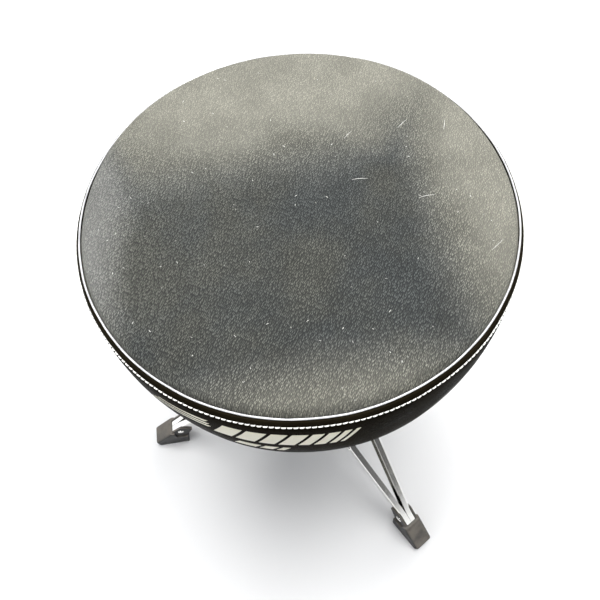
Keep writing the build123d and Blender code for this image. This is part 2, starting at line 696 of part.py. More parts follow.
def make_rubber_foot(letter, azimuth):
    """Rubber wedge foot: flat sole, sloping nose, and cheeks that hold the leg's tongue."""
    slack = 0.15
    half = STRAP_HEIGHT / 2
    pocket_start = FOOT_MOUTH - 10
    mouth_width = strap_half_width(pocket_start) + slack
    tongue_width = STRAP_TONGUE + slack
    heel, toe = FOOT_SOLE
    ridge = FOOT_RIDGE[0]
    outline = [(heel - 2, 2), (heel, 0), (toe, 0), (FOOT_TOE - 1, 4), (FOOT_TOE, 12), FOOT_RIDGE]
    outline += [(ridge - 7, FOOT_RIDGE[1]), (ridge - 8, FOOT_LEDGE), (heel - 4, FOOT_LEDGE - 2)]
    with BuildPart() as foot:
        with BuildSketch(side_plane(azimuth)):
            with BuildLine():
                Polyline(*outline, close=True)
            make_face()
        extrude(amount=FOOT_HALF_WIDTH, both=True)
        fillet(foot.edges().filter_by(lambda edge: is_nose_edge(edge, azimuth)), 3.5)
        with BuildSketch(side_plane(azimuth)):
            with BuildLine():
                Polyline(
                    point_on_leg(FOOT_MOUTH, half + 0.5),
                    point_on_leg(FOOT_MOUTH + 32, half + 0.5),
                    (ridge, FOOT_LEDGE),
                    (heel - 1, FOOT_LEDGE - 8),
                    point_on_leg(FOOT_MOUTH - 1, -half - 4),
                    close=True,
                )
            make_face()
        extrude(amount=CHEEK_HALF_WIDTH, both=True)
        with BuildSketch(leg_plane(azimuth)):
            with BuildLine():
                Polyline(
                    (STRAP_END + slack, 0),
                    (STRAP_END + slack, tongue_width),
                    (TONGUE_START, tongue_width),
                    (pocket_start, mouth_width),
                    (pocket_start, 0),
                )
                mirror(about=Plane.XZ)
            make_face()
        extrude(amount=half + slack, both=True, mode=Mode.SUBTRACT)
        with BuildSketch(leg_plane(azimuth)):
            with BuildLine():
                Polyline(
                    (MOUTH_END, 0),
                    (MOUTH_END, tongue_width),
                    (TONGUE_START, tongue_width),
                    (pocket_start, mouth_width),
                    (pocket_start, 0),
                )
                mirror(about=Plane.XZ)
            make_face()
        extrude(amount=2 * STRAP_HEIGHT, mode=Mode.SUBTRACT)
        with BuildSketch(side_plane(azimuth)):
            with Locations(point_on_leg(FOOT_RIVET_ON_LEG)):
                Circle(3.05)
        extrude(amount=2 * CHEEK_HALF_WIDTH, both=True, mode=Mode.SUBTRACT)
    save(foot, f"leg_{letter}_foot")


# ---------------------------------------------------------------- collar and braces
def make_brace_collar():
    """Sliding collar with three brace lugs and a boss for its wing bolt."""
    bottom = COLLAR_PIVOT[1] - COLLAR_HEIGHT / 2
    lug_half_width = BRACE_INNER - FREE_GAP
    with BuildPart() as collar:
        with BuildSketch(Plane.XY.offset(bottom)):
            Circle(COLLAR_RADIUS)
        extrude(amount=COLLAR_HEIGHT)
        fillet(collar.edges().filter_by(GeomType.CIRCLE), 1.5)
        for azimuth in LEG_AZIMUTHS.values():
            with BuildSketch(side_plane(azimuth)):
                with Locations(COLLAR_PIVOT):
                    Circle(BRACE_WIDTH / 2 + 0.5)
                with Locations((COLLAR_PIVOT[0] / 2 + 5.0, COLLAR_PIVOT[1])):
                    Rectangle(COLLAR_PIVOT[0] - 10.0, BRACE_WIDTH)
            extrude(amount=lug_half_width, both=True)
        with BuildSketch(bolt_plane(COLLAR_BOLT_AZIMUTH, TUBE_RADIUS, COLLAR_PIVOT[1])):
            Circle(7.5)
        extrude(amount=COLLAR_RADIUS + 6.0 - TUBE_RADIUS)
        with BuildSketch(Plane.XY.offset(bottom)):
            Circle(TUBE_RADIUS + RUNNING_GAP + BUSH_WALL + 0.05)
        extrude(amount=COLLAR_HEIGHT, mode=Mode.SUBTRACT)
        with BuildSketch(bolt_plane(COLLAR_BOLT_AZIMUTH, 0.0, COLLAR_PIVOT[1])):
            Circle(BOLT_RADIUS + RUNNING_GAP)
        extrude(amount=2 * COLLAR_RADIUS, mode=Mode.SUBTRACT)
        for azimuth in LEG_AZIMUTHS.values():
            with BuildSketch(side_plane(azimuth)):
                with Locations(COLLAR_PIVOT):
                    Circle(3.5 + RUNNING_GAP)
            extrude(amount=2 * lug_half_width, both=True, mode=Mode.SUBTRACT)
    save(collar, "brace_collar")


def make_collar_bush():
    """Nylon liner between the collar and the tube."""
    bottom = COLLAR_PIVOT[1] - COLLAR_HEIGHT / 2
    bore = TUBE_RADIUS + RUNNING_GAP
    with BuildPart() as bush:
        with BuildSketch(Plane.XY.offset(bottom)):
            Circle(bore + BUSH_WALL)
            Circle(bore, mode=Mode.SUBTRACT)
        extrude(amount=COLLAR_HEIGHT)
        with BuildSketch(bolt_plane(COLLAR_BOLT_AZIMUTH, 0.0, COLLAR_PIVOT[1])):
            Circle(BOLT_RADIUS + FREE_GAP)
        extrude(amount=2 * COLLAR_RADIUS, mode=Mode.SUBTRACT)
    save(bush, "collar_bush")


def make_brace_strap(azimuth, side, name):
    """Flat strap from the collar's lug to the leg."""
    foot = COLLAR_PIVOT
    head = point_on_leg(BRACE_ON_LEG)
    centre = ((foot[0] + head[0]) / 2, (foot[1] + head[1]) / 2)
    length = math.hypot(head[0] - foot[0], head[1] - foot[1])
    slope = math.degrees(math.atan2(head[1] - foot[1], head[0] - foot[0]))
    origin = tangent(azimuth) * (side * (BRACE_INNER + BRACE_THICKNESS / 2))
    plane = Plane(origin=origin, x_dir=radial(azimuth), z_dir=-tangent(azimuth))
    with BuildPart() as brace:
        with BuildSketch(plane):
            with Locations(Location(centre, slope)):
                SlotCenterToCenter(length, BRACE_WIDTH)
            with Locations(foot, head):
                Circle(3.55, mode=Mode.SUBTRACT)
        extrude(amount=BRACE_THICKNESS / 2, both=True)
    save(brace, name)


def make_brace_collar_rivet(letter, azimuth):
    """Rivet through both braces and the collar's lug."""
    outer = BRACE_INNER + BRACE_THICKNESS
    with BuildPart() as rivet:
        pin(azimuth, COLLAR_PIVOT, 3.5, -outer, outer)
        for side in (-1, 1):
            pin(azimuth, COLLAR_PIVOT, 5.5, side * outer, side * (outer + 2.0))
        ends = rivet.edges().filter_by(GeomType.CIRCLE).group_by(Axis((0, 0, 0), tangent(azimuth)))
        fillet(ends[0] + ends[-1], 1.0)
    save(rivet, f"brace_{letter}_collar_rivet")


def make_brace_leg_pin(letter, azimuth):
    """Shouldered pin that keeps the braces apart; its ends face the leg's studs."""
    point = point_on_leg(BRACE_ON_LEG)
    end = STRAP_SPREAD - STRAP_DEPTH - 0.4
    with BuildPart() as piece:
        pin(azimuth, point, 6.0, -BRACE_INNER, BRACE_INNER)
        for side in (-1, 1):
            pin(azimuth, point, 3.5, side * BRACE_INNER, side * end)
    save(piece, f"brace_{letter}_leg_pin")


# ---------------------------------------------------------------- build
def make_seat():
    make_seat_top_fabric()
    make_seat_foam()
    make_seat_side_cover()
    make_seat_piping()
    make_seat_board()
    make_seat_tee_nuts()
    make_seat_dust_cover()
    make_dust_cover_staples()
    make_seat_plate()
    make_seat_plate_screws()
    make_seat_socket()
    make_socket_rivets()
    tip, head = POST_RADIUS + FREE_GAP, SOCKET_RADIUS + 11.0
    make_wing_bolt("seat_clamp_bolt", SOCKET_BOLT_AZIMUTH, tip, head, SOCKET_BOLT_HEIGHT)


def make_base():
    make_outer_tube()
    make_tube_bottom_cap()
    make_hub_casting()
    make_hub_screws()
    make_spindle_nut()
    tip, head = THREAD_RADIUS + FREE_GAP, HUB_RADIUS + 7.0
    make_wing_bolt("spindle_lock_bolt", LOCK_BOLT_AZIMUTH, tip, head, LOCK_BOLT_HEIGHT)


def make_spindle():
    make_threaded_spindle()
    make_spindle_guide_bush()
    make_spindle_retaining_ring()


def make_collar():
    make_brace_collar()
    make_collar_bush()
    tip, head = TUBE_RADIUS + FREE_GAP, COLLAR_RADIUS + 6.0
    make_wing_bolt("collar_bolt", COLLAR_BOLT_AZIMUTH, tip, head, COLLAR_PIVOT[1])


def make_legs():
    for letter, azimuth in LEG_AZIMUTHS.items():
        for side, word in ((1, "left"), (-1, "right")):
            make_leg_strap(azimuth, side, f"leg_{letter}_strap_{word}")
            make_brace_strap(azimuth, side, f"brace_{letter}_strap_{word}")
        make_leg_pivot_rivet(letter, azimuth)
        make_leg_brace_studs(letter, azimuth)
        make_rubber_foot(letter, azimuth)
        make_foot_rivet(letter, azimuth)
        make_brace_collar_rivet(letter, azimuth)
        make_brace_leg_pin(letter, azimuth)


os.makedirs("parts", exist_ok=True)
make_seat()
make_spindle()
make_base()
make_collar()
make_legs()
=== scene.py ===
"""Looks of the drum throne: cloth, vinyl, stitching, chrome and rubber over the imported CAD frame.

Lengths are metres in the row's frame: +Z up, the origin on the floor under the spindle.
"""
import json
import math
import random

import bpy
import bmesh
from mathutils import Matrix, Vector, noise


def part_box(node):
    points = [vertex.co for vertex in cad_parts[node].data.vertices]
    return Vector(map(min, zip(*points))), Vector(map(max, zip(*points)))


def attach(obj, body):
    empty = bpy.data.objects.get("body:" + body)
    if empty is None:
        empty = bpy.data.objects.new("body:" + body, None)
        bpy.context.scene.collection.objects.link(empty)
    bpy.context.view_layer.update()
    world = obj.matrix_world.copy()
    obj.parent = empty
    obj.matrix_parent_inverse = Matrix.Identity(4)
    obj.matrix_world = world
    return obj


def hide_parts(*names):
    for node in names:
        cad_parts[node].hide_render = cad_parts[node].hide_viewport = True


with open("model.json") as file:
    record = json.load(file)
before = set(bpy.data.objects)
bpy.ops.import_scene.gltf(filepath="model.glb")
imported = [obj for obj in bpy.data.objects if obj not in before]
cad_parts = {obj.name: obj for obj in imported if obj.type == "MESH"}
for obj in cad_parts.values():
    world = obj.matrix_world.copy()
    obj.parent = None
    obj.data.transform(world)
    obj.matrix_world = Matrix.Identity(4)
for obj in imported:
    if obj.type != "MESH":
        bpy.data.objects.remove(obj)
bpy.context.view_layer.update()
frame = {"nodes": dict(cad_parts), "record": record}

MM = 0.001
TAU = 2 * math.pi

# Heights of the seat, worked out from the frame
SEAT_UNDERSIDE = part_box("seat_side_cover")[0][2]
PIPING_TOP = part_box("seat_piping")[1][2]
CORD_HEIGHT = PIPING_TOP - 2.6 * MM
RIM_HEIGHT = PIPING_TOP - 5.0 * MM
STITCH_HEIGHT = PIPING_TOP - 8.4 * MM

# Driving dimensions of the seat's covers
CORD_RADIUS = 0.75 * MM
CORD_RING = 174.0 * MM
CLOTH_RADIUS = CORD_RING - CORD_RADIUS + 0.1 * MM
CLOTH_THICKNESS = 2.2 * MM
VINYL_THICKNESS = 1.4 * MM
STITCH_PITCH = 4.15 * MM
STAPLE_COUNT = 24
# Outer profile of the vinyl wall, in mm: (height above the underside, radius)
WALL_STATIONS = [(12.0, 175.2), (25.0, 177.3), (45.0, 179.2), (65.0, 179.8), (80.0, 179.5),
                 (88.0, 178.9), (93.5, 177.9), (97.0, 176.2), (99.5, 174.6)]


# ---------------------------------------------------------------- materials
class Shader:
    """A node material with one Principled shader, and short ways to add nodes to it."""

    def __init__(self, name, **sockets):
        self.material = bpy.data.materials.new(name)
        self.material.use_nodes = True
        self.tree = self.material.node_tree
        self.bsdf = self.tree.nodes["Principled BSDF"]
        for socket, value in sockets.items():
            self.bsdf.inputs[socket.replace("_", " ")].default_value = value
        self.place = self.tree.nodes.new("ShaderNodeTexCoord").outputs["Object"]

    def node(self, kind, **settings):
        made = self.tree.nodes.new("ShaderNode" + kind)
        for key, value in settings.items():
            setattr(made, key, value)
        return made

    def link(self, output, node, socket):
        self.tree.links.new(output, node.inputs[socket])

    def mapped(self, scale=(1, 1, 1), turn=(0, 0, 0)):
        """Object coordinates, turned and then scaled."""
        turned = self.node("Mapping", vector_type="TEXTURE")
        turned.inputs["Rotation"].default_value = turn
        self.link(self.place, turned, "Vector")
        scaled = self.node("Mapping")
        scaled.inputs["Scale"].default_value = scale
        self.link(turned.outputs["Vector"], scaled, "Vector")
        return scaled.outputs["Vector"]

    def noise(self, scale, detail=3.0, vector=None, roughness=0.5):
        made = self.node("TexNoise")
        made.inputs["Scale"].default_value = scale
        made.inputs["Detail"].default_value = detail
        made.inputs["Roughness"].default_value = roughness
        self.link(vector or self.place, made, "Vector")
        return made.outputs["Fac"]

    def cells(self, scale, vector=None, randomness=1.0, feature="F1", flat=False):
        made = self.node("TexVoronoi", feature=feature, voronoi_dimensions="2D" if flat else "3D")
        made.inputs["Scale"].default_value = scale
        made.inputs["Randomness"].default_value = randomness
        self.link(vector or self.place, made, "Vector")
        return made

    def levels(self, fac, low, high, to_low=0.0, to_high=1.0):
        """Rescale a value from one range to another with a smooth step, clamped."""
        made = self.node("MapRange", interpolation_type="SMOOTHSTEP")
        settings = {"From Min": low, "From Max": high, "To Min": to_low, "To Max": to_high}
        for socket, value in settings.items():
            made.inputs[socket].default_value = value
        self.link(fac, made, "Value")
        return made.outputs["Result"]

    def mix(self, fac, first, second, blend="MIX"):
        """Mix two colours; each input is an output socket, a number or a colour."""
        made = self.node("Mix", data_type="RGBA", blend_type=blend)
        for socket, value in ((0, fac), (6, first), (7, second)):
            if isinstance(value, bpy.types.NodeSocket):
                self.tree.links.new(value, made.inputs[socket])
            elif isinstance(value, (int, float)):
                made.inputs[socket].default_value = value
            else:
                made.inputs[socket].default_value = (*value, 1.0)
        return made.outputs[2]

    def math(self, operation, first, second=0.0):
        made = self.node("Math", operation=operation)
        for socket, value in ((0, first), (1, second)):
            if isinstance(value, bpy.types.NodeSocket):
                self.tree.links.new(value, made.inputs[socket])
            else:
                made.inputs[socket].default_value = value
        return made.outputs["Value"]

    def tone_blob(self, middle, size, turn, wander):
        """Soft elliptical patch, 1 in its middle and 0 outside, with a wandering border."""
        placed = self.node("Mapping", vector_type="TEXTURE")
        placed.inputs["Location"].default_value = (*middle, 0.0)
        placed.inputs["Rotation"].default_value = (0, 0, math.radians(turn))
        placed.inputs["Scale"].default_value = (*size, 1e6)
        self.link(self.place, placed, "Vector")
        reach = self.node("VectorMath", operation="LENGTH")
        self.link(placed.outputs["Vector"], reach, 0)
        frayed = self.math("ADD", reach.outputs["Value"],
                           self.math("MULTIPLY", self.math("SUBTRACT", wander, 0.5), 0.55))
        return self.levels(frayed, 0.30, 1.0, 1.0, 0.0)

    def bump(self, height, distance, strength=1.0, after=None):
        made = self.node("Bump")
        made.inputs["Distance"].default_value = distance
        made.inputs["Strength"].default_value = strength
        self.link(height, made, "Height")
        if after is not None:
            self.link(after, made, "Normal")
        return made.outputs["Normal"]

    def colour(self, output):
        self.link(output, self.bsdf, "Base Color")

    def rough(self, output):
        self.link(output, self.bsdf, "Roughness")

    def normal(self, output):
        self.link(output, self.bsdf, "Normal")


def seat_cloth_material():
    """Coarse dark twill with a worn nap: a dark sat-on patch, and paler edges that are partly dust and
    partly painted sheen.
    """
    s = Shader("seat_cloth", Roughness=0.95, Sheen_Weight=0.16, Sheen_Roughness=0.45)
    s.bsdf.inputs["Sheen Tint"].default_value = (0.9, 0.9, 0.78, 1)
    s.bsdf.inputs["Specular IOR Level"].default_value = 0.15
    # One voronoi cell is one visible yarn: a short dash that runs up to the right.
    yarn_length, yarn_width, yarn_turn = 2.2 * MM, 1.17 * MM, math.radians(56)
    weave_space = s.mapped(scale=(1 / yarn_length, 1 / yarn_width, 1), turn=(0, 0, yarn_turn))
    yarn = s.cells(1.0, weave_space, randomness=0.72, flat=True)
    from_middle = s.node("VectorMath", operation="SUBTRACT")
    s.link(weave_space, from_middle, 0)
    s.link(yarn.outputs["Position"], from_middle, 1)
    parts = s.node("SeparateXYZ")
    s.link(from_middle.outputs[0], parts, "Vector")
    lengthwise = s.levels(s.math("ABSOLUTE", parts.outputs["X"]), 0.25, 0.52, 1.0, 0.0)
    crosswise = s.levels(s.math("ABSOLUTE", parts.outputs["Y"]), 0.05, 0.36, 1.0, 0.0)
    ridge = s.math("MULTIPLY", lengthwise, crosswise)
    each = s.node("SeparateColor")
    s.link(yarn.outputs["Color"], each, "Color")
    dash_lit = s.math("MULTIPLY", ridge, s.levels(each.outputs["Red"], 0.1, 1.0, 0.25, 1.0))
    # Painted shade: one side of each yarn dash is darkened, as the thread's relief would shade it.
    yarn_side_shade = s.math("MULTIPLY", lengthwise, s.levels(parts.outputs["Y"], -0.5, -0.2, 1.0, 0.0))
    # Broad tone: a dark, flattened patch where the drummer sits; paler nap behind and beside it, partly
    # dust and partly painted sheen where light grazes the back and sides.
    wander = s.noise(11.0, 4.0, roughness=0.55)
    blotch = s.noise(34.0, 5.0, roughness=0.6)
    behind = s.tone_blob((0.02, 0.160), (0.34, 0.155), 9.0, wander)
    right_side = s.tone_blob((0.180, 0.020), (0.105, 0.32), 0.0, wander)
    left_side = s.tone_blob((-0.176, 0.020), (0.060, 0.20), 0.0, wander)
    front = s.tone_blob((0.01, -0.19), (0.26, 0.075), 0.0, wander)
    warm_edge = s.math("MAXIMUM", s.math("MAXIMUM", behind, right_side), s.math("MULTIPLY", front, 0.52))
    cool_edge = s.math("MULTIPLY", left_side, 0.75)
    edge = s.math("MAXIMUM", warm_edge, cool_edge)
    deep = s.mix(s.levels(wander, 0.38, 0.62), (0.030, 0.033, 0.034), (0.041, 0.042, 0.038))
    pale = s.mix(s.levels(s.math("SUBTRACT", warm_edge, cool_edge), -0.2, 0.5),
                 (0.185, 0.186, 0.180), (0.205, 0.200, 0.170))
    tone = s.mix(edge, deep, pale)
    uneven = s.mix(s.levels(blotch, 0.3, 0.7), (0.80, 0.80, 0.80), (1.18, 1.18, 1.18))
    tone = s.mix(0.5, tone, uneven, "MULTIPLY")
    # The weave's contrast falls off over the pale edges, whose paleness is partly dust and partly painted
    # sheen.
    worn = s.levels(edge, 0.0, 0.9, 1.0, 0.35)
    lift = s.mix(s.math("MULTIPLY", dash_lit, worn), (0.75, 0.75, 0.75), (3.6, 3.6, 3.42))
    cloth = s.mix(1.0, tone, lift, "MULTIPLY")
    # Painted shade darkens the shaded side of each yarn.
    cloth = s.mix(s.math("MULTIPLY", s.math("MULTIPLY", yarn_side_shade, worn), 0.75), cloth, (0.018, 0.018, 0.017))
    # Lint: a few specks paler than any yarn.
    lint = s.cells(210.0, randomness=1.0)
    rare = s.node("SeparateColor")
    s.link(lint.outputs["Color"], rare, "Color")
    speck = s.math("MULTIPLY", s.levels(lint.outputs["Distance"], 0.05, 0.16, 1.0, 0.0),
                   s.levels(rare.outputs["Green"], 0.93, 0.97))
    s.colour(s.mix(s.math("MULTIPLY", speck, 0.55), cloth, (0.46, 0.46, 0.42)))
    fuzz = s.noise(2600.0, 2.0)
    height = s.math("ADD", ridge, s.math("MULTIPLY", fuzz, 0.5))
    s.normal(s.bump(height, 0.0006, 0.75, after=s.bump(blotch, 0.002, 0.35)))
    return s.material


def vinyl_material():
    """Black upholstery vinyl with a fine pressed grain and faint scuffs."""
    s = Shader("vinyl", Roughness=0.40)
    s.bsdf.inputs["Specular IOR Level"].default_value = 0.0008
    grain = s.cells(900.0, randomness=1.0, feature="DISTANCE_TO_EDGE").outputs["Distance"]
    crease = s.levels(grain, 0.0, 0.12)
    handled = s.noise(26.0, 5.0, roughness=0.6)
    tint = s.mix(s.levels(handled, 0.35, 0.7), (0.0095, 0.0076, 0.0042), (0.0150, 0.0118, 0.0068))
    # Painted shade: the creases of the grain are darkened.
    s.colour(s.mix(s.math("MULTIPLY", s.math("SUBTRACT", 1.0, crease), 0.35), tint, (0.003, 0.0028, 0.002)))
    s.rough(s.levels(handled, 0.3, 0.75, 0.24, 0.40))
    s.normal(s.bump(crease, 0.00012, 0.5, after=s.bump(handled, 0.0015, 0.12)))
    return s.material


def cord_material():
    """Pale grey vinyl welt, glossy, with the odd grey mark."""
    s = Shader("piping", Roughness=0.22, Coat_Weight=0.5, Coat_Roughness=0.12)
    marks = s.noise(60.0, 4.0)
    s.colour(s.mix(s.levels(marks, 0.45, 0.75), (0.52, 0.52, 0.53), (0.36, 0.36, 0.37)))
    s.normal(s.bump(s.noise(700.0, 2.0), 0.0002, 0.25))
    return s.material


def thread_material():
    """White sewing thread with two visible plies."""
    s = Shader("thread", Roughness=0.65, Sheen_Weight=0.3)
    fibre = s.noise(3200.0, 3.0)
    s.colour(s.mix(fibre, (0.80, 0.79, 0.74), (0.93, 0.92, 0.88)))
    s.normal(s.bump(fibre, 0.0002, 0.5))
    return s.material


def print_material():
    """Cream screen print, slightly worn."""
    s = Shader("wall_print", Roughness=0.42)
    worn = s.noise(190.0, 5.0, roughness=0.65)
    s.colour(s.mix(s.levels(worn, 0.60, 0.76), (0.83, 0.80, 0.64), (0.42, 0.40, 0.31)))
    s.normal(s.bump(worn, 0.0002, 0.3))
    return s.material


def foam_material():
    """Cut upholstery foam."""
    s = Shader("foam", Roughness=0.9, Subsurface_Weight=0.1)
    pores = s.cells(620.0, feature="DISTANCE_TO_EDGE").outputs["Distance"]
    # Painted shade: the grooves between the pores are darkened.
    s.colour(s.mix(s.levels(pores, 0.0, 0.2), (0.36, 0.31, 0.20), (0.72, 0.66, 0.48)))
    s.normal(s.bump(pores, 0.0008, 0.8))
    return s.material


def plywood_material():
    """Birch plywood: face grain along X and darker glue lines on the edge."""
    s = Shader("plywood", Roughness=0.6)
    grain = s.noise(9.0, 6.0, vector=s.mapped(scale=(1, 14, 1)), roughness=0.6)
    plies = s.node("TexWave", wave_type="BANDS", bands_direction="Z")
    plies.inputs["Scale"].default_value = 130.0
    plies.inputs["Distortion"].default_value = 0.4
    s.link(s.place, plies, "Vector")
    face = s.mix(grain, (0.40, 0.26, 0.14), (0.66, 0.48, 0.29))
    s.colour(s.mix(s.math("MULTIPLY", plies.outputs["Fac"], 0.35), face, (0.22, 0.13, 0.07)))
    s.normal(s.bump(grain, 0.0004, 0.4))
    return s.material


def dust_cloth_material():
    """Spun-bonded black cloth with its pattern of fused points."""
    s = Shader("dust_cloth", Roughness=0.93, Sheen_Weight=0.15)
    points = s.cells(430.0, vector=s.mapped(turn=(0, 0, math.radians(45))), randomness=0.0, flat=True)
    dimple = s.levels(points.outputs["Distance"], 0.15, 0.32)
    fibre = s.noise(900.0, 4.0)
    s.colour(s.mix(fibre, (0.010, 0.010, 0.011), (0.030, 0.030, 0.031)))
    s.normal(s.bump(s.math("ADD", dimple, fibre), 0.0003, 0.6))
    return s.material


def chrome_material():
    """Bright plate with a thin film of dust, wipe marks and fine scratches."""
    s = Shader("chrome", Metallic=1.0)
    film = s.noise(22.0, 5.0, roughness=0.6)
    scratch = s.noise(60.0, 3.0, vector=s.mapped(scale=(18, 1, 1), turn=(0.3, 0.8, 0.5)))
    s.colour(s.mix(s.levels(film, 0.4, 0.75), (0.90, 0.895, 0.87), (0.76, 0.75, 0.70)))
    s.rough(s.math("ADD", s.levels(film, 0.35, 0.8, 0.035, 0.16), s.levels(scratch, 0.62, 0.72, 0.0, 0.10)))
    s.normal(s.bump(s.noise(45.0, 2.0), 0.0008, 0.10))
    return s.material


def zinc_material():
    """Zinc-plated steel: grey, slightly yellow, with a blurred shine."""
    s = Shader("zinc", Metallic=1.0)
    cloud = s.noise(75.0, 4.0)
    s.colour(s.mix(s.levels(cloud, 0.35, 0.7), (0.56, 0.57, 0.58), (0.44, 0.43, 0.39)))
    s.rough(s.levels(cloud, 0.3, 0.75, 0.24, 0.42))
    s.normal(s.bump(s.noise(420.0, 3.0), 0.0002, 0.3))
    return s.material


def cast_material():
    """Plated casting: a soft orange-peel surface under bright plate."""
    s = Shader("cast_metal", Metallic=1.0)
    peel = s.noise(330.0, 3.0)
    grime = s.noise(30.0, 5.0, roughness=0.65)
    s.colour(s.mix(s.levels(grime, 0.42, 0.75), (0.70, 0.70, 0.71), (0.42, 0.41, 0.39)))
    s.rough(s.levels(grime, 0.35, 0.8, 0.20, 0.46))
    s.normal(s.bump(peel, 0.0006, 0.35))
    return s.material


def black_steel_material():
    """Black powder coat."""
    s = Shader("black_steel", Metallic=0.1)
    peel = s.noise(800.0, 2.0)
    s.colour(s.mix(s.noise(40.0, 4.0), (0.014, 0.014, 0.015), (0.034, 0.034, 0.035)))
    s.rough(s.levels(peel, 0.3, 0.7, 0.38, 0.55))
    s.normal(s.bump(peel, 0.0003, 0.4))
    return s.material


def nylon_material():
    """Black nylon with a fine mould texture."""
    s = Shader("nylon")
    fine = s.noise(1100.0, 2.0)
    s.colour(s.mix(s.noise(60.0, 4.0), (0.016, 0.016, 0.016), (0.036, 0.036, 0.035)))
    s.rough(s.levels(fine, 0.3, 0.7, 0.45, 0.62))
    s.normal(s.bump(fine, 0.0002, 0.5))
    return s.material


def rubber_material():
    """Moulded rubber, scuffed, with paler grey-brown upward faces: partly dust, partly painted light from
    above.
    """
    s = Shader("rubber", Roughness=0.7)
    scuff = s.noise(55.0, 6.0, roughness=0.65)
    fine = s.noise(900.0, 3.0)
    way = s.node("SeparateXYZ")
    s.link(s.node("NewGeometry").outputs["Normal"], way, "Vector")
    # Painted light: upward faces are paler, partly from dust and partly from the light falling on them from
    # above.
    upward = s.levels(way.outputs["Z"], 0.25, 0.75)
    dust = s.math("MULTIPLY", upward, s.levels(scuff, 0.25, 0.62, 0.45, 1.0))
    bare = s.mix(scuff, (0.010, 0.010, 0.010), (0.026, 0.025, 0.024))
    dust_and_light_top = s.mix(scuff, (0.120, 0.108, 0.092), (0.215, 0.192, 0.160))
    s.colour(s.mix(dust, bare, dust_and_light_top))
    s.rough(s.levels(scuff, 0.3, 0.8, 0.5, 0.8))
    s.normal(s.bump(fine, 0.0002, 0.35, after=s.bump(scuff, 0.0008, 0.4)))
    return s.material


def hair_material():
    """Stray pale hairs and lint."""
    s = Shader("lint", Roughness=0.6)
    s.colour(s.mix(s.noise(500.0), (0.62, 0.62, 0.58), (0.90, 0.89, 0.84)))
    return s.material


MATERIALS = {
    "seat_cloth": seat_cloth_material(),
    "vinyl": vinyl_material(),
    "piping": cord_material(),
    "thread": thread_material(),
    "print": print_material(),
    "foam": foam_material(),
    "plywood": plywood_material(),
    "dust_cloth": dust_cloth_material(),
    "chrome": chrome_material(),
    "zinc": zinc_material(),
    "cast_metal": cast_material(),
    "black_steel": black_steel_material(),
    "nylon": nylon_material(),
    "rubber": rubber_material(),
    "lint": hair_material(),
}


# ---------------------------------------------------------------- mesh helpers
MERGE_DISTANCE = 0.001 * MM


def piece(name, verts, faces, body, material):
    """A new smooth-shaded mesh piece that rides on a body."""
    mesh = bpy.data.meshes.new(name)
    mesh.from_pydata([tuple(v) for v in verts], [], faces)
    mesh.validate()
    made = bpy.data.objects.new(name, mesh)
    bpy.context.scene.collection.objects.link(made)
    mesh.materials.append(MATERIALS[material])
    tidy_mesh(made)
    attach(made, body)
    return made


def tidy_mesh(made):
    """Merge doubled corners, face everything outward and shade it smooth."""
    work = bmesh.new()
    work.from_mesh(made.data)
    bmesh.ops.remove_doubles(work, verts=work.verts, dist=MERGE_DISTANCE)
    bmesh.ops.dissolve_degenerate(work, edges=work.edges, dist=MERGE_DISTANCE / 10)
    bmesh.ops.recalc_face_normals(work, faces=work.faces)
    for face in work.faces:
        face.smooth = True
    work.to_mesh(made.data)
    work.free()


def add_modifier(made, kind, **settings):
    modifier = made.modifiers.new(kind.title(), kind)
    for key, value in settings.items():
        setattr(modifier, key, value)
    return modifier


def apply_modifiers(made):
    """Bake the modifiers of a piece into its mesh."""
    graph = bpy.context.evaluated_depsgraph_get()
    baked = bpy.data.meshes.new_from_object(made.evaluated_get(graph))
    made.modifiers.clear()
    made.data = baked


def on_ring(radius, angle, height):
    """The point at a radius, an angle about the axis and a height."""
    return (radius * math.cos(angle), radius * math.sin(angle), height)


def ripple(angle, detail, layer):
    """Seamless noise round a circle, from -1 to 1."""
    return noise.noise(Vector(on_ring(detail, angle, layer)))


def lathe(profile, segments, shape=None):
    """Corners and faces of a profile of (radius, height) turned about the axis.

    shape(radius, height, angle) may return a changed radius and height.
    """
    verts, faces = [], []
    count = len(profile)
    for turn in range(segments):
        angle = TAU * turn / segments
        for radius, height in profile:
            if shape is not None:
                radius, height = shape(radius, height, angle)
            verts.append(on_ring(radius, angle, height))
    for turn in range(segments):
        here, there = turn * count, (turn + 1) % segments * count
        for k in range(count):
            k2 = (k + 1) % count
            faces.append((here + k, there + k, there + k2, here + k2))
    return verts, faces


def smooth_line(points, steps):
    """Catmull-Rom curve through points, ends included."""
    padded = [points[0], *points, points[-1]]
    line = []
    for k in range(1, len(padded) - 2):
        p0, p1, p2, p3 = (Vector(p) for p in padded[k - 1:k + 3])
        for step in range(steps):
            t = step / steps
            line.append(0.5 * ((2 * p1) + (p2 - p0) * t + (2 * p0 - 5 * p1 + 4 * p2 - p3) * t * t
                               + (3 * p1 - p0 - 3 * p2 + p3) * t * t * t))
    line.append(Vector(points[-1]))
    return line


